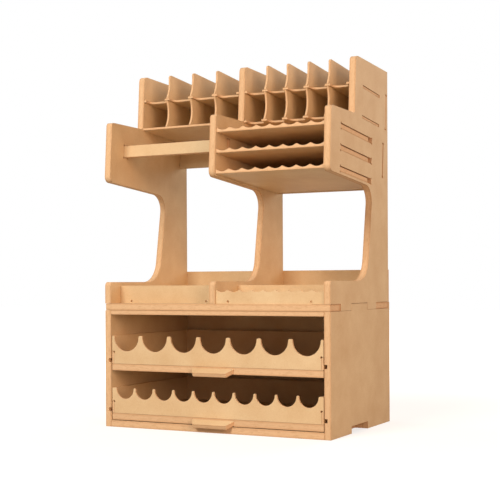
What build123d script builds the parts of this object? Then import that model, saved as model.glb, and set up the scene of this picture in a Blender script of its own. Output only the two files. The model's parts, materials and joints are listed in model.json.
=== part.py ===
from build123d import *

import os
from itertools import product
from math import cos, radians, sin, tan

os.makedirs("parts", exist_ok=True)

# A two-part desk organizer of slotted MDF sheet, in millimetres, +Z up.
# The origin is on the floor, under the middle of the whole thing.
# X runs to the right, and Y to the back. "Back" distances count from the front plane of the cabinet.

# Sheets
thick = 9.0  # cabinet sides, boards, uprights and the tool rail
medium = 6.0  # cabinet top, pen shelves and pulls
thin = 3.0  # drawer walls, backs, tray walls and compartments

# Clearances
play = 0.3  # between pieces that move apart
slot_gap = 0.8  # above a tongue in its slot
pen_slot_gap = 1.3  # above a pen shelf's tongue
relief_radius = 1.5  # round cutter reliefs beside tabs and fingers
corner_radius = 1.4  # and at the corners of the uprights' slots
cut_margin = 1.0  # how far outside a piece an edge cut starts

# Cabinet
width = 330.0
side_depth = 208.0
cabinet_height = 157.5
step_start = 69.0  # the raised step that locates the rack, and the notch under it
step_length = 57.0
foot_notch_height = 9.5
groove_height = 5.0
groove_depth = 4.0
groove_rise = 2.0  # from a drawer board's top to its groove
groove_stop = 8.0  # from a groove's end to the side's rear edge

# Drawers
drawer_pitch = 66.5
drawer_lift = 0.8  # gap under a drawer board
drawer_side_gap = 1.0
drawer_recess = 1.0  # drawer front behind the cabinet front
drawer_back_gap = 8.0  # between a drawer and the cabinet's back
finger_height = 15.7
runner_start = 14.0
runner_stop = 8.0  # from a runner's end to the drawer's end
lower_front_height = 34.2  # above the drawer's board
upper_front_height = 37.9
lower_scallops = 10
upper_scallops = 7
lower_scallop_radius = 13.3
upper_scallop_radius = 19.0
lower_scallop_depth = 14.5
upper_scallop_depth = 20.8
lower_scallop_pitch = 29.9
upper_scallop_pitch = 44.0
lip_radius = 1.7
lip_share = 0.35  # of the wall between two scallops, at most

# Pulls
pull_root = 61.0
pull_tip = 49.0
pull_reach = 10.5  # in front of the cabinet
pull_lean = 25.0  # degrees down
pull_tongue = 4.0
pull_root_rise = 0.5  # above the board's underside, at the board's front

# Uprights of the rack
foot_height = 29.0
foot_radius = 5.5
leg_base_back = 126.0
leg_top_back = 147.5
leg_foot_radius = 34.0
leg_head_radius = 22.0
upright_inset = 1.5  # from the rear edge of the cabinet's sides
head_height = 330.7  # lowest front corner of the head
head_lean = 4.0  # degrees that the head leans back
chin_radius = 8.0
low_step_rise = 80.8  # from the head's lowest front corner
low_step_radius = 5.5
high_step_back = 83.5
inner_step_radius = 3.0
crown_rise = 156.3  # from the same corner to the front of the crown
crown_fall = 3.0  # from the front of the crown to its back
crown_radius = 8.0
front_tab_start = 33.0
rear_tab_length = 33.0

# Bench
board_inset = 1.0  # base board ends inside the uprights' faces
tray_wall_height = 24.0
left_wall_back = 24.5
right_wall_back = 64.0
comb_back = 2.0
comb_height = 18.0
comb_dip = 2.6
comb_count = 9
comb_land = 1.2
wall_tab_inset = 17.5
strip_height = 44.5

# Pen shelves, measured along and across the leaning head
pen_front = 2.0
pen_back_inset = 23.5  # from the uprights' rear edge, and so for the tool bay's back
pen_first_rise = 3.3
pen_pitch = 27.0
pen_shelf_names = ("lower", "middle", "upper")
flute_count = 8
flute_depth = 3.0
flute_land = 1.4
pen_tongue_start = 33.0
pen_tongue_length = 95.0
pen_slot_spare = 13.0  # the slot runs on behind its tongue

# Backs behind the pen shelves and behind the tool bay
pen_back_low = 2.3
pen_back_high = 71.3
tool_back_low = 46.8
tool_back_high = 74.5
pen_back_tongue_low = 19.5
pen_back_tongue_high = 64.5
tool_back_tongue_inset = 5.0
short_tongue = 4.0  # these backs' tongues end inside the uprights

# Tool rail
rail_front = 31.5
rail_low = 38.4
rail_tall = 16.0

# Compartments
cell_back_inset = 15.5  # from the uprights' rear edge
low_shelf_rise = 84.8
high_shelf_rise = 124.8
left_cell_count = 4
right_cell_count = 5
shelf_scoop = 14.0
shelf_scoop_radius = 7.0
shelf_land = 4.0  # from a divider's middle to a scoop
divider_scoop = 5.5
divider_set_back = 4.5  # of a divider's top corner
divider_radius = 4.0
cell_tongue_start = 104.0
cell_tongue_length = 60.0
cell_slot_spare = 3.0
cell_back_low = 80.0
cell_back_tongue_low = 87.0
cell_back_tongue_high = 133.0

# Worked out from the sizes above
front_y = -(side_depth + thin - pull_reach) / 2
half_width = width / 2
inner_half = half_width - thick
lean = radians(head_lean)
pull_slope = radians(pull_lean)
base_top = cabinet_height + thick
foot_top = base_top + foot_height
low_step_height = head_height + low_step_rise
rack_height = head_height + crown_rise
step_end = step_start + step_length
rear_tab_end = step_end + rear_tab_length
drawer_half = inner_half - drawer_side_gap
drawer_end = side_depth - drawer_back_gap
groove_end = side_depth - groove_stop
runner_end = drawer_end - runner_stop
upright_depth = side_depth - upright_inset
pen_end = upright_depth - pen_back_inset
cell_end = upright_depth - cell_back_inset
bays = {"left": (-inner_half, -thick / 2), "right": (thick / 2, inner_half)}
upright_x = {"left": -half_width + thick / 2, "middle": 0, "right": half_width - thick / 2}
low_drawer_rise = thick + drawer_lift

# The compartments stand flush with the upper front edges of the uprights, and end level with their crown
cell_front = high_step_back * cos(lean) - low_step_rise * sin(lean)
divider_top = (crown_rise + cell_front * sin(lean)) / cos(lean)
cell_counts = {"left": left_cell_count, "right": right_cell_count}

# Underside of the board, height of the front, then the scallops: count, radius, depth and pitch
drawers = {
    "lower_drawer": (
        low_drawer_rise,
        lower_front_height,
        lower_scallops,
        lower_scallop_radius,
        lower_scallop_depth,
        lower_scallop_pitch,
    ),
    "upper_drawer": (
        low_drawer_rise + drawer_pitch,
        upper_front_height,
        upper_scallops,
        upper_scallop_radius,
        upper_scallop_depth,
        upper_scallop_pitch,
    ),
}


def level(height):
    """A level plane: local x is X, local y counts back from the cabinet's front."""
    return Plane(origin=(0, front_y, height), x_dir=(1, 0, 0), z_dir=(0, 0, 1))


def facing(back):
    """An upright plane that faces the front: local x is X, local y is height."""
    return Plane(origin=(0, front_y + back, 0), x_dir=(1, 0, 0), z_dir=(0, -1, 0))


def across(x):
    """An upright plane that faces right: local x counts back, local y is height."""
    return Plane(origin=(x, front_y, 0), x_dir=(0, 1, 0), z_dir=(1, 0, 0))


def head_level(rise):
    """A shelf plane of the leaning head: local y is the run, back and slightly down."""
    origin = (0, front_y + rise * sin(lean), head_height + rise * cos(lean))
    return Plane(origin=origin, x_dir=(1, 0, 0), z_dir=(0, sin(lean), cos(lean)))


def head_facing(run):
    """A plane of the leaning head that faces the front: local y is the rise."""
    origin = (0, front_y + run * cos(lean), head_height - run * sin(lean))
    return Plane(origin=origin, x_dir=(1, 0, 0), z_dir=(0, -cos(lean), sin(lean)))


def head_across(x):
    """A plane of the leaning head that faces right: local x is the run, local y the rise."""
    return Plane(origin=(x, front_y, head_height), x_dir=(0, cos(lean), -sin(lean)), z_dir=(1, 0, 0))


def patch(low, high, mode=Mode.ADD):
    """A rectangle in the open sketch, from its low corner to its high corner."""
    with Locations(((low[0] + high[0]) / 2, (low[1] + high[1]) / 2)):
        Rectangle(high[0] - low[0], high[1] - low[1], mode=mode)


def wave(start, pitch, count, land, top, dip):
    """A row of hollows in the open line, left to right, each an arc between two lands."""
    for hollow in range(count):
        left = start + hollow * pitch + land / 2
        right = left + pitch - land
        Line((left - land / 2, top), (left, top))
        ThreePointArc((left, top), ((left + right) / 2, top - dip), (right, top))
        Line((right, top), (right + land / 2, top))


def row(low, high, count):
    """The places that part a bay into equal columns, without its two ends."""
    return [low + (high - low) * step / count for step in range(1, count)]


# ---------------------------------------------------------------- cabinet

for side, sign in (("left", -1), ("right", 1)):
    with BuildPart() as cabinet_side:
        with BuildSketch(across(sign * (half_width - thick / 2))):
            patch((0, 0), (side_depth, cabinet_height))
            patch((step_start + play, cabinet_height), (step_end - play, base_top - play))
            patch((step_start, 0), (step_end, foot_notch_height), mode=Mode.SUBTRACT)
        extrude(amount=thick / 2, both=True)
        with BuildSketch(across(sign * (inner_half + groove_depth / 2))):
            for board_rise, *_ in drawers.values():
                groove_low = board_rise + thick + groove_rise
                patch((0, groove_low), (groove_end, groove_low + groove_height))
        extrude(amount=groove_depth / 2, both=True, mode=Mode.SUBTRACT)
    cabinet_side.part.label = f"cabinet_side_{side}"
    export_step(cabinet_side.part, f"parts/cabinet_side_{side}.step")

with BuildPart() as cabinet_bottom:
    with BuildSketch(level(0)):
        patch((-inner_half, 0), (inner_half, side_depth))
        for sign in (-1, 1):
            with Locations((sign * (inner_half - thick / 2), (step_start + step_end) / 2)):
                Rectangle(thick, step_length, mode=Mode.SUBTRACT)
    extrude(amount=thick)
cabinet_bottom.part.label = "cabinet_bottom"
export_step(cabinet_bottom.part, "parts/cabinet_bottom.step")

with BuildPart() as cabinet_top:
    with BuildSketch(level(cabinet_height)):
        patch((-inner_half, 0), (inner_half, side_depth))
    extrude(amount=-medium)
cabinet_top.part.label = "cabinet_top"
export_step(cabinet_top.part, "parts/cabinet_top.step")

with BuildPart() as cabinet_back:
    with BuildSketch(facing(side_depth)):
        patch((-half_width, 0), (half_width, base_top))
    extrude(amount=-thin)
cabinet_back.part.label = "cabinet_back"
export_step(cabinet_back.part, "parts/cabinet_back.step")

# ---------------------------------------------------------------- drawers


def pull_profile(board_rise):
    """The pull's outline on its slanted plane: a tongue, then a plate that narrows to the front."""
    half_plate = medium / 2
    root_height = board_rise + pull_root_rise + half_plate / cos(pull_slope)
    origin = (0, front_y + drawer_recess, root_height)
    reach = (pull_reach + drawer_recess - half_plate * sin(pull_slope)) / cos(pull_slope)
    plane = Plane(origin=origin, x_dir=(1, 0, 0), z_dir=(0, -sin(pull_slope), cos(pull_slope)))
    with BuildSketch(plane) as profile:
        with BuildLine():
            Polyline(
                (-pull_root / 2, pull_tongue),
                (-pull_root / 2, 0),
                (-pull_tip / 2, -reach),
                (pull_tip / 2, -reach),
                (pull_root / 2, 0),
                (pull_root / 2, pull_tongue),
                close=True,
            )
        make_face()
    return profile.sketch


for drawer, (board_rise, front_height, count, radius, depth, pitch) in drawers.items():
    board_top = board_rise + thick
    front_top = board_top + front_height
    finger_top = board_top + finger_height
    side_inner = drawer_half - thin
    pull_shape = pull_profile(board_rise)

    with BuildPart() as drawer_board:
        with BuildSketch(level(board_rise)):
            patch((-drawer_half, drawer_recess), (drawer_half, drawer_end))
        extrude(amount=thick)
        extrude(pull_shape, amount=medium / 2, both=True, mode=Mode.SUBTRACT)
    drawer_board.part.label = f"{drawer}_board"
    export_step(drawer_board.part, f"parts/{drawer}_board.step")

    with BuildPart() as drawer_pull:
        extrude(pull_shape, amount=medium / 2, both=True)
    drawer_pull.part.label = f"{drawer}_pull"
    export_step(drawer_pull.part, f"parts/{drawer}_pull.step")

    with BuildPart() as drawer_front:
        with BuildSketch(facing(drawer_recess)):
            patch((-drawer_half, board_top), (drawer_half, front_top))
            with Locations((0, front_top - depth + radius)):
                with GridLocations(pitch, 0, count, 1):
                    Circle(radius, mode=Mode.SUBTRACT)
                    Rectangle(2 * radius, radius, align=(Align.CENTER, Align.MIN), mode=Mode.SUBTRACT)
            lips = vertices().group_by(Axis.Y)[-1]
            fillet(lips, radius=min(lip_radius, lip_share * (pitch - 2 * radius)))
            for sign in (-1, 1):
                with Locations((sign * (drawer_half - thin / 2), board_top + finger_height / 2)):
                    Rectangle(thin, finger_height, mode=Mode.SUBTRACT)
                with Locations((sign * side_inner, finger_top)):
                    Circle(relief_radius, mode=Mode.SUBTRACT)
        extrude(amount=-thin)
    drawer_front.part.label = f"{drawer}_front"
    export_step(drawer_front.part, f"parts/{drawer}_front.step")

    for side, sign in (("left", -1), ("right", 1)):
        with BuildPart() as drawer_side:
            with BuildSketch(across(sign * (drawer_half - thin / 2))):
                patch((drawer_recess + thin, board_top), (drawer_end, front_top))
                patch((drawer_recess, board_top), (drawer_recess + thin, finger_top))
            extrude(amount=thin / 2, both=True)
        drawer_side.part.label = f"{drawer}_side_{side}"
        export_step(drawer_side.part, f"parts/{drawer}_side_{side}.step")

        runner_depth = drawer_side_gap + groove_depth - play
        runner_low = board_top + groove_rise + play
        runner_high = board_top + groove_rise + groove_height - play
        with BuildPart() as drawer_runner:
            with BuildSketch(across(sign * (drawer_half + runner_depth / 2))):
                patch((runner_start, runner_low), (runner_end, runner_high))
            extrude(amount=runner_depth / 2, both=True)
        drawer_runner.part.label = f"{drawer}_runner_{side}"
        export_step(drawer_runner.part, f"parts/{drawer}_runner_{side}.step")

    with BuildPart() as drawer_back:
        with BuildSketch(facing(drawer_end - thin)):
            patch((-side_inner, board_top), (side_inner, front_top))
        extrude(amount=-thin)
    drawer_back.part.label = f"{drawer}_back"
    export_step(drawer_back.part, f"parts/{drawer}_back.step")

# ---------------------------------------------------------------- bench of the rack

# Each low wall: its bay and how far back its front face is
low_walls = {
    "tray_wall_left": ("left", left_wall_back),
    "tray_wall_right": ("right", right_wall_back),
    "tray_comb": ("right", comb_back),
}


def wall_tab(bay):
    """The ends of a low wall's tab in X."""
    low, high = bays[bay]
    return low + wall_tab_inset, high - wall_tab_inset


with BuildPart() as base_board:
    with BuildSketch(level(cabinet_height)):
        board_half = half_width - board_inset
        patch((-board_half, 0), (board_half, side_depth - play))
        for sign in (-1, 1):
            with Locations((sign * (inner_half - play + thick / 2), (front_tab_start + rear_tab_end) / 2)):
                Rectangle(thick, rear_tab_end - front_tab_start, mode=Mode.SUBTRACT)
        patch((-thick / 2, front_tab_start), (thick / 2, step_start), mode=Mode.SUBTRACT)
        patch((-thick / 2, step_end), (thick / 2, rear_tab_end), mode=Mode.SUBTRACT)
        for bay, back in low_walls.values():
            tab_low, tab_high = wall_tab(bay)
            patch((tab_low, back), (tab_high, back + thin), mode=Mode.SUBTRACT)
    extrude(amount=thick)
base_board.part.label = "base_board"
export_step(base_board.part, "parts/base_board.step")

for wall, (bay, back) in low_walls.items():
    low, high = bays[bay]
    tab_low, tab_high = wall_tab(bay)
    with BuildPart() as low_wall:
        with BuildSketch(facing(back)):
            if wall == "tray_comb":
                comb_top = base_top + comb_height
                with BuildLine():
                    wave(low, (high - low) / comb_count, comb_count, comb_land, comb_top, comb_dip)
                    Polyline((low, comb_top), (low, base_top), (high, base_top), (high, comb_top))
                make_face()
            else:
                patch((low, base_top), (high, base_top + tray_wall_height))
            patch((tab_low, cabinet_height), (tab_high, base_top))
            relief_rise = base_top + 2 * relief_radius
            with Locations((tab_low, relief_rise), (tab_high, relief_rise)):
                Circle(relief_radius, mode=Mode.SUBTRACT)
        extrude(amount=-thin)
    low_wall.part.label = wall
    export_step(low_wall.part, f"parts/{wall}.step")

with BuildPart() as back_strip:
    with BuildSketch(facing(upright_depth)):
        patch((-half_width, base_top), (half_width, base_top + strip_height))
    extrude(amount=-thin)
back_strip.part.label = "back_strip"
export_step(back_strip.part, "parts/back_strip.step")

# ---------------------------------------------------------------- uprights

pen_rises = [pen_first_rise + step * pen_pitch for step in range(len(pen_shelf_names))]
pen_tongue_end = pen_tongue_start + pen_tongue_length
cell_rises = {"lower": low_shelf_rise, "upper": high_shelf_rise}
cell_tongue_end = cell_tongue_start + cell_tongue_length
tool_back_tongue_low = tool_back_low + tool_back_tongue_inset
tool_back_tongue_high = tool_back_high - tool_back_tongue_inset


def shelf_slots(rises, start, end, height):
    """Slots for shelves, each as its run start, run end, low rise and high rise."""
    return [(start, end, rise, rise + height) for rise in rises]


pen_slot_end = pen_tongue_end + pen_slot_spare
cell_slot_end = cell_tongue_end + cell_slot_spare
pen_slots = shelf_slots(pen_rises, pen_tongue_start, pen_slot_end, medium + pen_slot_gap)
cell_slots = shelf_slots(cell_rises.values(), cell_tongue_start, cell_slot_end, thin + slot_gap)
pen_back_slot = (pen_end, pen_end + thin, pen_back_tongue_low, pen_back_tongue_high + slot_gap)
tool_back_slot = (pen_end, pen_end + thin, tool_back_tongue_low, tool_back_tongue_high + slot_gap)
cell_back_slot = (cell_end, cell_end + thin, cell_back_tongue_low, cell_back_tongue_high + slot_gap)
rail_slot = (rail_front, rail_front + thick, rail_low, rail_low + rail_tall + slot_gap)
left_slots = [rail_slot, tool_back_slot, cell_back_slot]
right_slots = [*pen_slots, pen_back_slot, cell_back_slot]

# The slots of each upright, and those of them that have cutter reliefs at their corners
upright_slots = {
    "left": (cell_slots + left_slots, left_slots),
    "middle": (cell_slots + left_slots + pen_slots + [pen_back_slot], []),
    "right": (cell_slots + right_slots, right_slots),
}

for upright, x in upright_x.items():
    with BuildPart() as panel:
        with BuildSketch(across(x)):
            with BuildLine():
                FilletPolyline(
                    (0, base_top),
                    (0, foot_top),
                    (leg_base_back, foot_top),
                    (leg_top_back, head_height - leg_top_back * tan(lean)),
                    (0, head_height),
                    (low_step_rise * tan(lean), low_step_height),
                    (high_step_back, low_step_height),
                    (high_step_back + (rack_height - low_step_height) * tan(lean), rack_height),
                    (upright_depth, rack_height - crown_fall),
                    (upright_depth, base_top),
                    radius=[
                        0,
                        foot_radius,
                        leg_foot_radius,
                        leg_head_radius,
                        chin_radius,
                        low_step_radius,
                        inner_step_radius,
                        crown_radius,
                        0,
                        0,
                    ],
                    close=True,
                )
            make_face()
            patch((front_tab_start, cabinet_height), (step_start, base_top))
            patch((step_end, cabinet_height), (rear_tab_end, base_top))
        extrude(amount=thick / 2, both=True)
        slots, relieved = upright_slots[upright]
        with BuildSketch(head_across(x)):
            for run_start, run_end, rise_low, rise_high in slots:
                patch((run_start, rise_low), (run_end, rise_high))
            for run_start, run_end, rise_low, rise_high in relieved:
                with Locations(*product((run_start, run_end), (rise_low, rise_high))):
                    Circle(corner_radius)
        extrude(amount=thick / 2, both=True, mode=Mode.SUBTRACT)
    panel.part.label = f"panel_{upright}"
    export_step(panel.part, f"parts/panel_{upright}.step")

# ---------------------------------------------------------------- head of the rack


def tongues(bay, low, high, outer_length, middle_length):
    """Two patches in the open sketch that carry a bay's board into the uprights beside it."""
    left, right = bays[bay]
    lengths = (outer_length, middle_length)
    left_length, right_length = lengths if bay == "left" else reversed(lengths)
    patch((left - left_length, low), (left, high))
    patch((right, low), (right + right_length, high))


for shelf, rise in zip(pen_shelf_names, pen_rises):
    low, high = bays["right"]
    shelf_top = rise + medium
    with BuildPart() as pen_shelf:
        with BuildSketch(head_facing(pen_front)):
            with BuildLine():
                wave(low, (high - low) / flute_count, flute_count, flute_land, shelf_top, flute_depth)
                Polyline((low, shelf_top), (low, rise), (high, rise), (high, shelf_top))
            make_face()
        extrude(amount=-(pen_end - pen_front))
        with BuildSketch(head_level(rise)):
            tongues("right", pen_tongue_start, pen_tongue_end, thick, thick)
        extrude(amount=medium)
    pen_shelf.part.label = f"pen_shelf_{shelf}"
    export_step(pen_shelf.part, f"parts/pen_shelf_{shelf}.step")

with BuildPart() as tool_rail:
    low, high = bays["left"]
    with BuildSketch(head_facing(rail_front)):
        patch((low - thick, rail_low), (high + thick, rail_low + rail_tall))
    extrude(amount=-thick)
tool_rail.part.label = "tool_rail"
export_step(tool_rail.part, "parts/tool_rail.step")

# Each back: its bay, its edges in run and rise, its tongues' rises, and their length in the outer upright
cell_back = (cell_end, cell_back_low, divider_top, cell_back_tongue_low, cell_back_tongue_high, thick)
pen_back = (pen_end, pen_back_low, pen_back_high, pen_back_tongue_low, pen_back_tongue_high, short_tongue)
tool_back = (
    pen_end,
    tool_back_low,
    tool_back_high,
    tool_back_tongue_low,
    tool_back_tongue_high,
    short_tongue,
)
backs = {
    "back_panel_pens": ("right", *pen_back),
    "back_panel_tools": ("left", *tool_back),
    "back_panel_cells_left": ("left", *cell_back),
    "back_panel_cells_right": ("right", *cell_back),
}

for name, (bay, run, rise_low, rise_high, tongue_low, tongue_high, outer_length) in backs.items():
    with BuildPart() as back_panel:
        with BuildSketch(head_facing(run)):
            patch((bays[bay][0], rise_low), (bays[bay][1], rise_high))
            tongues(bay, tongue_low, tongue_high, outer_length, min(outer_length, thick / 2))
        extrude(amount=-thin)
    back_panel.part.label = name
    export_step(back_panel.part, f"parts/{name}.step")

halving = (cell_front + cell_end) / 2

for bay, columns in cell_counts.items():
    low, high = bays[bay]
    column = (high - low) / columns
    places = row(low, high, columns)

    for shelf, rise in cell_rises.items():
        scooped = shelf == "upper" or bay == "right"
        with BuildPart() as cell_shelf:
            with BuildSketch(head_level(rise)):
                patch((low, cell_front), (high, cell_end))
                tongues(bay, cell_tongue_start, cell_tongue_end, thick, thick / 2)
                if scooped:
                    for step in range(columns):
                        scoop_left = low + step * column + shelf_land
                        scoop_right = scoop_left + column - 2 * shelf_land
                        with BuildLine():
                            FilletPolyline(
                                (scoop_left, cell_front - cut_margin),
                                (scoop_left, cell_front + shelf_scoop),
                                (scoop_right, cell_front + shelf_scoop),
                                (scoop_right, cell_front - cut_margin),
                                radius=[0, shelf_scoop_radius, shelf_scoop_radius, 0],
                                close=True,
                            )
                        make_face(mode=Mode.SUBTRACT)
                if shelf == "upper":
                    half_slot = (thin + play) / 2
                    for place in places:
                        low_corner = (place - half_slot, halving)
                        patch(low_corner, (place + half_slot, cell_end), mode=Mode.SUBTRACT)
            extrude(amount=thin)
        cell_shelf.part.label = f"cell_shelf_{shelf}_{bay}"
        export_step(cell_shelf.part, f"parts/cell_shelf_{shelf}_{bay}.step")

    # The two hollows in a divider's front edge: low rise, high rise, and set-back at the high end
    stand = low_shelf_rise + thin
    hollows = (
        (stand, high_shelf_rise, 0),
        (high_shelf_rise + thin, divider_top, divider_set_back),
    )
    for number, place in enumerate(places, 1):
        with BuildPart() as cell_divider:
            with BuildSketch(head_across(place)):
                patch((cell_front, stand), (cell_end, divider_top))
                for hollow_low, hollow_high, set_back in hollows:
                    with BuildLine():
                        ThreePointArc(
                            (cell_front, hollow_low),
                            (cell_front + divider_scoop, (hollow_low + hollow_high) / 2),
                            (cell_front + set_back, hollow_high),
                        )
                        Polyline(
                            (cell_front + set_back, hollow_high),
                            (cell_front - cut_margin, hollow_high),
                            (cell_front - cut_margin, hollow_low),
                            (cell_front, hollow_low),
                        )
                    make_face(mode=Mode.SUBTRACT)
                fillet(vertices().group_by(Axis.Y)[-1].sort_by(Axis.X)[:1], radius=divider_radius)
                patch((cell_front, high_shelf_rise), (halving, high_shelf_rise + thin), mode=Mode.SUBTRACT)
            extrude(amount=thin / 2, both=True)
        cell_divider.part.label = f"cell_divider_{bay}_{number}"
        export_step(cell_divider.part, f"parts/cell_divider_{bay}_{number}.step")
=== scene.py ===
import json
import math

import bmesh
import bpy
import numpy as np
from mathutils import Matrix, Vector


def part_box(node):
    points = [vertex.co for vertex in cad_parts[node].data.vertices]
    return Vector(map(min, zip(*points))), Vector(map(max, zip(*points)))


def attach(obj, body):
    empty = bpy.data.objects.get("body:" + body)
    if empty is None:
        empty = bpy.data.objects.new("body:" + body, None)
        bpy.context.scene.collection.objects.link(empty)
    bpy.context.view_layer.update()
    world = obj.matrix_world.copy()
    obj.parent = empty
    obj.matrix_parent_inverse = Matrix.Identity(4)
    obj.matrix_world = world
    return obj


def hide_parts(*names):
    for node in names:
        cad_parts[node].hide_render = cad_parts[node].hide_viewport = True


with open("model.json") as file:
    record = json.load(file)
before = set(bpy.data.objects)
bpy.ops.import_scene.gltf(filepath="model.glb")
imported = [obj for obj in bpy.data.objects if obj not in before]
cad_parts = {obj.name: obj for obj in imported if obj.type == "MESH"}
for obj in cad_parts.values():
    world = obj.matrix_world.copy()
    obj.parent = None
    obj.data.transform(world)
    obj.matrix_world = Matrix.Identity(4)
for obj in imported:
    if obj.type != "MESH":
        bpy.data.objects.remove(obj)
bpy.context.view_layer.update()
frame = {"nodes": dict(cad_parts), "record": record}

# A desk organizer of bare MDF: 9, 6 and 3 mm sheets, cut by a router and slotted together.
# Lengths are in metres. Each board is finished from its own solid, so its place stays as it is.

MM = 0.001
CABINET_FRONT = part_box("cabinet_side_left")[0].y
HEAD_LEAN = math.radians(4.0)
PULL_LEAN = math.radians(25.0)


# ---------------------------------------------------------------- materials


def linear(hex_colour):
    """An sRGB hex colour as linear red, green, blue and alpha, by the sRGB curve."""
    channels = np.array([int(hex_colour[start:start + 2], 16) / 255 for start in (1, 3, 5)])
    curved = np.where(channels <= 0.04045, channels / 12.92, ((channels + 0.055) / 1.055) ** 2.4)
    return (*curved.tolist(), 1.0)


def add_node(tree, kind, inputs=None, **settings):
    """Adds one node. Settings are its properties; inputs are values, or sockets to link."""
    node = tree.nodes.new(kind)
    for name, value in settings.items():
        setattr(node, name, value)
    for key, value in (inputs or {}).items():
        if isinstance(value, bpy.types.NodeSocket):
            tree.links.new(value, node.inputs[key])
        else:
            node.inputs[key].default_value = value
    return node


def per_metre(millimetres):
    """A noise scale whose features are about this many millimetres apart."""
    return 1 / (millimetres * MM)


# Medium-density fibreboard: pressed wood fibre, pale and a little yellow on its sanded faces.
# Routed edges show the open core, which is warmer, rougher and layered along the sheet.
FACE_PALE = "#E2C59B"
FACE_DEEP = "#D3B084"
FIBRE_DARK = "#A97A4E"
EDGE_CORE = "#E1BA90"
EDGE_SKIN = "#D3A67C"
FIBRE_GRAIN = 1.3  # mm, drawn coarser than real fibre so that it shows
FLECK_SPACING = 3.2  # mm
CLOUD_SPACING = 38.0  # mm, from the press
LAYER_GRAIN = 2.4  # mm along a routed edge
FIBRE_RISE = 0.12 * MM  # before the bump's strength

# The noise of each pattern, and the part of it that is drawn as a share of colour
CLOUD_NOISE = {"Detail": 3.0, "Roughness": 0.55}
FELT_NOISE = {"Detail": 4.0, "Roughness": 0.7, "Distortion": 1.4}
FLECK_NOISE = {"Detail": 5.0, "Roughness": 0.75, "Distortion": 2.0}
BAND_NOISE = {"Scale": 0.35, "Detail": 4.0, "Roughness": 0.7}
MOTTLE_RANGE = {"From Min": 0.72, "From Max": 1.28}
FLECK_RANGE = {"From Min": 0.60, "From Max": 0.74, "To Max": 0.34}
BAND_RANGE = {"From Min": 0.48, "From Max": 0.72, "To Max": 0.42}

# Where the skin and the sanded face begin, as shares of the way from the sheet's middle to its face
SKIN_RANGE = {"From Min": 0.35, "From Max": 1.0}
FACE_RANGE = {"From Min": 0.93, "From Max": 0.995}

# From the routed edge to the sanded face
BUMP_CHANGE = {"To Min": 0.5, "To Max": 0.16}
ROUGHNESS_CHANGE = {"To Min": 0.92, "To Max": 0.66}
BOARD_GLOSS = {"IOR": 1.46, "Specular IOR Level": 0.35}

# The sockets of a colour Mix node
FIRST, SECOND, MIXED = 6, 7, 2


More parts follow.
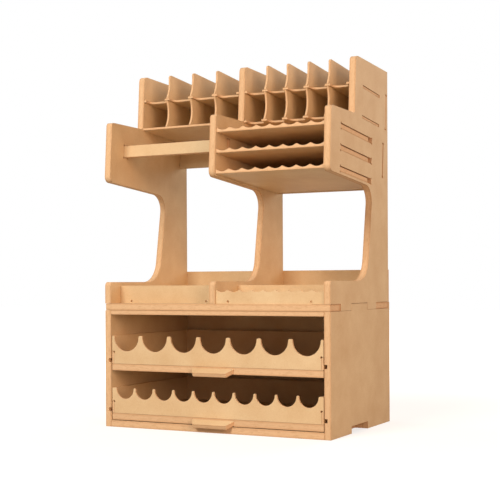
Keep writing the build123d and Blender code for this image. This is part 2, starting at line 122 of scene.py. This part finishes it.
def fibreboard(name, layers):
    """Sanded faces and routed edges of one sheet; layers is how many bands its cut edge shows."""
    material = bpy.data.materials.new(name)
    material.use_nodes = True
    tree = material.node_tree
    tree.nodes.clear()
    place = add_node(tree, "ShaderNodeTexCoord").outputs["Object"]
    across = add_node(tree, "ShaderNodeAttribute", attribute_name="across").outputs["Fac"]
    tone = add_node(tree, "ShaderNodeAttribute", attribute_name="tone").outputs["Fac"]

    # Faces: slow clouds, felted fibre and sparse dark flecks
    clouds = add_node(tree, "ShaderNodeTexNoise", {
        "Vector": place, "Scale": per_metre(CLOUD_SPACING), **CLOUD_NOISE})
    felt = add_node(tree, "ShaderNodeTexNoise", {
        "Vector": place, "Scale": per_metre(FIBRE_GRAIN), **FELT_NOISE})
    flecks = add_node(tree, "ShaderNodeTexNoise", {
        "Vector": place, "Scale": per_metre(FLECK_SPACING), **FLECK_NOISE})
    mottle = add_node(tree, "ShaderNodeMath", {
        0: clouds.outputs["Fac"], 1: felt.outputs["Fac"]}, operation="ADD")
    mottle_share = add_node(tree, "ShaderNodeMapRange", {
        "Value": mottle.outputs[0], **MOTTLE_RANGE})
    face = add_node(tree, "ShaderNodeMix", {
        "Factor": mottle_share.outputs[0],
        FIRST: linear(FACE_DEEP), SECOND: linear(FACE_PALE)}, data_type="RGBA")
    fleck_share = add_node(tree, "ShaderNodeMapRange", {
        "Value": flecks.outputs["Fac"], **FLECK_RANGE})
    fibred = add_node(tree, "ShaderNodeMix", {
        "Factor": fleck_share.outputs[0],
        FIRST: face.outputs[MIXED], SECOND: linear(FIBRE_DARK)}, data_type="RGBA")

    # Edges: a deeper skin on each side, a paler open core, and short bands along the sheet
    depth = add_node(tree, "ShaderNodeMath", {0: across}, operation="ABSOLUTE")
    skin = add_node(tree, "ShaderNodeMapRange", {
        "Value": depth.outputs[0], **SKIN_RANGE}, interpolation_type="SMOOTHSTEP")
    band_height = add_node(tree, "ShaderNodeMath", {
        0: across, 1: float(layers)}, operation="MULTIPLY")
    band_place = add_node(tree, "ShaderNodeVectorMath", {
        0: place, 1: (per_metre(LAYER_GRAIN),) * 3}, operation="MULTIPLY")
    bands = add_node(tree, "ShaderNodeTexNoise", {
        "Vector": band_place.outputs[0], "W": band_height.outputs[0], **BAND_NOISE},
        noise_dimensions="4D")
    core = add_node(tree, "ShaderNodeMix", {
        "Factor": skin.outputs[0],
        FIRST: linear(EDGE_CORE), SECOND: linear(EDGE_SKIN)}, data_type="RGBA")
    band_share = add_node(tree, "ShaderNodeMapRange", {
        "Value": bands.outputs["Fac"], **BAND_RANGE})
    edge = add_node(tree, "ShaderNodeMix", {
        "Factor": band_share.outputs[0],
        FIRST: core.outputs[MIXED], SECOND: linear(FIBRE_DARK)}, data_type="RGBA")

    # The sanded face begins where the bevel ends
    on_face = add_node(tree, "ShaderNodeMapRange", {
        "Value": depth.outputs[0], **FACE_RANGE}, interpolation_type="SMOOTHSTEP")
    surface = add_node(tree, "ShaderNodeMix", {
        "Factor": on_face.outputs[0],
        FIRST: edge.outputs[MIXED], SECOND: fibred.outputs[MIXED]}, data_type="RGBA")
    toned = add_node(tree, "ShaderNodeHueSaturation", {
        "Color": surface.outputs[MIXED], "Value": tone})

    # Felted fibre stands a few hundredths of a millimetre proud, more on the routed edge
    bump_height = add_node(tree, "ShaderNodeMath", {
        0: felt.outputs["Fac"], 1: bands.outputs["Fac"]}, operation="ADD")
    bump_strength = add_node(tree, "ShaderNodeMapRange", {
        "Value": on_face.outputs[0], **BUMP_CHANGE})
    bump = add_node(tree, "ShaderNodeBump", {
        "Strength": bump_strength.outputs[0], "Distance": FIBRE_RISE,
        "Height": bump_height.outputs[0]})
    roughness = add_node(tree, "ShaderNodeMapRange", {
        "Value": on_face.outputs[0], **ROUGHNESS_CHANGE})
    shader = add_node(tree, "ShaderNodeBsdfPrincipled", {
        "Base Color": toned.outputs[0], "Roughness": roughness.outputs[0],
        "Normal": bump.outputs[0], **BOARD_GLOSS})
    add_node(tree, "ShaderNodeOutputMaterial", {"Surface": shader.outputs[0]})
    return material


sheet_materials = {
    "mdf_9mm": fibreboard("mdf_9mm_sanded_face_routed_edge", 9),
    "mdf_6mm": fibreboard("mdf_6mm_sanded_face_routed_edge", 6),
    "mdf_3mm": fibreboard("mdf_3mm_sanded_face_routed_edge", 3),
}


# ---------------------------------------------------------------- boards

# The way each board's sheet faces, found by a part of its name; the first that fits holds
LEANING_UP = (0, math.sin(HEAD_LEAN), math.cos(HEAD_LEAN))
LEANING_BACK = (0, math.cos(HEAD_LEAN), -math.sin(HEAD_LEAN))
SHEET_FACING = (
    ("_pull", (0, -math.sin(PULL_LEAN), math.cos(PULL_LEAN))),
    ("pen_shelf", LEANING_UP),
    ("cell_shelf", LEANING_UP),
    ("back_panel", LEANING_BACK),
    ("tool_rail", LEANING_BACK),
    ("_side_", (1, 0, 0)),
    ("_runner_", (1, 0, 0)),
    ("cabinet_side", (1, 0, 0)),
    ("panel_", (1, 0, 0)),
    ("cell_divider", (1, 0, 0)),
    ("cabinet_bottom", (0, 0, 1)),
    ("cabinet_top", (0, 0, 1)),
    ("_board", (0, 0, 1)),
    ("", (0, 1, 0)),
)
MERGE_DISTANCE = 0.002 * MM
FLAT_ANGLE = math.radians(0.6)  # triangles that meet at less are one face
ARRIS_ANGLE = math.radians(38)  # faces that meet at more have a broken arris
ARRIS = {"mdf_9mm": 0.45 * MM, "mdf_6mm": 0.40 * MM, "mdf_3mm": 0.28 * MM}
ARRIS_STEPS = 2
NARROW_ARRIS = 0.18 * MM  # for the drawer boards, whose edge is only 0.5 mm high under the pull
CREASE_ANGLE = math.radians(20)  # keeps flat faces flat beside their arrises
FIT_GAP = 0.12 * MM  # each face stands about this far inside the solid, so that joints show
TONE_SPREAD = 0.035
TONE_SEED = 7
QUAD = 4  # corners


def facing(node):
    """The unit vector square to the board's sheet."""
    return next(np.array(way) for part, way in SHEET_FACING if part in node)


def board(node, body, slot, random):
    """A board from its solid: triangles merged to flat faces, then each arris broken by a round.

    Each point then moves inwards by the fit gap, against its own normal.
    """
    mesh = frame["nodes"][node].data.copy()
    shape = bmesh.new()
    shape.from_mesh(mesh)
    bmesh.ops.remove_doubles(shape, verts=shape.verts, dist=MERGE_DISTANCE)
    bmesh.ops.dissolve_limit(
        shape, angle_limit=FLAT_ANGLE, verts=shape.verts, edges=shape.edges,
        use_dissolve_boundaries=False)
    arrises = [
        edge for edge in shape.edges if edge.is_manifold and edge.calc_face_angle() > ARRIS_ANGLE]
    arris = NARROW_ARRIS if node.endswith("drawer_board") else ARRIS[slot]
    bmesh.ops.bevel(
        shape, geom=arrises, offset=arris, offset_type="OFFSET", segments=ARRIS_STEPS,
        profile=0.5, affect="EDGES", clamp_overlap=True)
    many_sided = [face for face in shape.faces if len(face.verts) > QUAD]
    bmesh.ops.triangulate(shape, faces=many_sided, ngon_method="EAR_CLIP")
    shape.to_mesh(mesh)
    shape.free()

    # across runs from -1 to 1 through the sheet, and tone is the board's own shade
    points = np.empty(len(mesh.vertices) * 3, np.float32)
    normals = np.empty(len(mesh.vertices) * 3, np.float32)
    mesh.vertices.foreach_get("co", points)
    mesh.vertices.foreach_get("normal", normals)
    reach = points.reshape(-1, 3) @ facing(node)
    middle, half = (reach.max() + reach.min()) / 2, (reach.max() - reach.min()) / 2
    across = mesh.attributes.new("across", "FLOAT", "POINT")
    across.data.foreach_set("value", ((reach - middle) / half).astype(np.float32))
    tone = mesh.attributes.new("tone", "FLOAT", "POINT")
    shade = 1 + TONE_SPREAD * random.uniform(-1, 1)
    tone.data.foreach_set("value", np.full(len(reach), shade, np.float32))
    mesh.vertices.foreach_set("co", points - FIT_GAP * normals)

    mesh.name = node + "_sheet"
    mesh.materials.clear()
    mesh.materials.append(sheet_materials[slot])
    mesh.shade_smooth()
    mesh.set_sharp_from_angle(angle=CREASE_ANGLE)

    piece = bpy.data.objects.new(node + "_sheet", mesh)
    bpy.context.scene.collection.objects.link(piece)
    flatten = piece.modifiers.new("flat_walls", "WEIGHTED_NORMAL")
    flatten.keep_sharp = True
    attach(piece, body)
    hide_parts(node)


node_slots = {row["node"]: row["material_slot"] for row in frame["record"]["subparts"]}
shades = np.random.default_rng(TONE_SEED)
for body, members in frame["record"]["behaviour"]["bodies"].items():
    for node in members:
        board(node, body, node_slots[node], shades)


# ---------------------------------------------------------------- floor, light and camera


FLOOR_HALF = 6.0
FLOOR_COLOUR = "#A9A59D"  # mid grey, for the light that it throws back
FLOOR_ROUGHNESS = 0.9
WHITE = "#FFFFFF"
# From metres off the middle to the glow that the camera sees
FLOOR_GLOW = {"From Min": 0.3, "From Max": 1.1, "To Min": 0.7, "To Max": 1.0}
SKY_STRENGTH = 0.27
BACKDROP_STRENGTH = 1.0


def ground():
    """A plain pale floor. The camera sees it near white, and it keeps the organizer's shadow."""
    mesh = bpy.data.meshes.new("floor")
    corners = [(x * FLOOR_HALF, y * FLOOR_HALF, 0) for x, y in ((-1, -1), (1, -1), (1, 1), (-1, 1))]
    mesh.from_pydata(corners, [], [(0, 1, 2, 3)])
    material = bpy.data.materials.new("pale_matt_floor")
    material.use_nodes = True
    tree = material.node_tree
    tree.nodes.clear()
    rays = add_node(tree, "ShaderNodeLightPath")
    seen = add_node(tree, "ShaderNodeMath", {
        0: rays.outputs["Is Camera Ray"], 1: rays.outputs["Is Glossy Ray"]}, operation="MAXIMUM")
    place = add_node(tree, "ShaderNodeTexCoord").outputs["Object"]
    far = add_node(tree, "ShaderNodeVectorMath", {0: place}, operation="LENGTH").outputs["Value"]
    share = add_node(tree, "ShaderNodeMapRange", {
        "Value": far, **FLOOR_GLOW}, interpolation_type="SMOOTHSTEP")
    glow = add_node(tree, "ShaderNodeMath", {
        0: seen.outputs[0], 1: share.outputs[0]}, operation="MULTIPLY")
    shader = add_node(tree, "ShaderNodeBsdfPrincipled", {
        "Base Color": linear(FLOOR_COLOUR), "Roughness": FLOOR_ROUGHNESS,
        "Emission Color": linear(WHITE), "Emission Strength": glow.outputs[0]})
    add_node(tree, "ShaderNodeOutputMaterial", {"Surface": shader.outputs[0]})
    mesh.materials.append(material)
    floor = bpy.data.objects.new("floor", mesh)
    bpy.context.scene.collection.objects.link(floor)


def studio():
    """White for what the camera sees past the floor, and a plain soft sky for the light."""
    world = bpy.data.worlds.new("studio")
    world.use_nodes = True
    tree = world.node_tree
    tree.nodes.clear()
    rays = add_node(tree, "ShaderNodeLightPath")
    seen = add_node(tree, "ShaderNodeMath", {
        0: rays.outputs["Is Camera Ray"], 1: rays.outputs["Is Transmission Ray"]}, operation="MAXIMUM")
    light = add_node(tree, "ShaderNodeBackground", {
        "Color": linear(WHITE), "Strength": SKY_STRENGTH})
    backdrop = add_node(tree, "ShaderNodeBackground", {
        "Color": linear(WHITE), "Strength": BACKDROP_STRENGTH})
    both = add_node(tree, "ShaderNodeMixShader", {
        0: seen.outputs[0], 1: light.outputs[0], 2: backdrop.outputs[0]})
    add_node(tree, "ShaderNodeOutputWorld", {"Surface": both.outputs[0]})
    bpy.context.scene.world = world


def lamp(name, place, target, size, power, colour):
    """A square soft lamp at place that shines at target."""
    data = bpy.data.lights.new(name, "AREA")
    data.shape = "SQUARE"
    data.size = size
    data.energy = power
    data.color = linear(colour)[:3]
    lit = bpy.data.objects.new(name, data)
    lit.location = place
    lit.rotation_euler = (Vector(target) - Vector(place)).to_track_quat("-Z", "Y").to_euler()
    bpy.context.scene.collection.objects.link(lit)


ground()
studio()
MIDDLE = (0, 0, 0.24)
# Name, place, target, size in metres, power in watts and colour
lamp("key", (-0.4, -1.95, 1.5), MIDDLE, 0.9, 39, "#FFFAF0")
lamp("fill", (1.9, -1.25, 0.7), MIDDLE, 1.1, 27, "#FFD9BC")
lamp("back", (0.6, 2.2, 1.2), MIDDLE, 1.2, 22, "#FFF4E6")
lamp("left", (-2.2, 0.4, 0.9), MIDDLE, 1.2, 17, "#FFF4E6")

# The photograph's camera, worked out from the organizer's straight edges
CAMERA_PLACE = Vector((690.56, CABINET_FRONT / MM - 1255.88, 192.77)) * MM
CAMERA_YAW = math.radians(26.847)  # to the left of straight back
CAMERA_PITCH = math.radians(-0.392)
CAMERA_ROLL = math.radians(-0.284)
FOCAL_PIXELS = 1112.86
AXIS_BELOW_CENTRE = 40.94  # pixels
FRAME_PIXELS = 500
SENSOR_WIDTH = 36.0  # mm
NEAREST, FARTHEST = 0.05, 50.0

ahead = Vector((
    -math.sin(CAMERA_YAW) * math.cos(CAMERA_PITCH),
    math.cos(CAMERA_YAW) * math.cos(CAMERA_PITCH),
    math.sin(CAMERA_PITCH)))
level_right = Vector((math.cos(CAMERA_YAW), math.sin(CAMERA_YAW), 0))
level_up = level_right.cross(ahead)
right = level_right * math.cos(CAMERA_ROLL) + level_up * math.sin(CAMERA_ROLL)
up = level_up * math.cos(CAMERA_ROLL) - level_right * math.sin(CAMERA_ROLL)

lens = bpy.data.cameras.new("camera")
lens.sensor_width = SENSOR_WIDTH
lens.lens = FOCAL_PIXELS / FRAME_PIXELS * SENSOR_WIDTH
lens.shift_y = AXIS_BELOW_CENTRE / FRAME_PIXELS
lens.clip_start = NEAREST
lens.clip_end = FARTHEST
camera = bpy.data.objects.new("camera", lens)
camera.matrix_world = Matrix((right, up, -ahead)).transposed().to_4x4()
camera.location = CAMERA_PLACE
bpy.context.scene.collection.objects.link(camera)
bpy.context.scene.camera = camera
bpy.context.scene.view_settings.view_transform = "Standard"
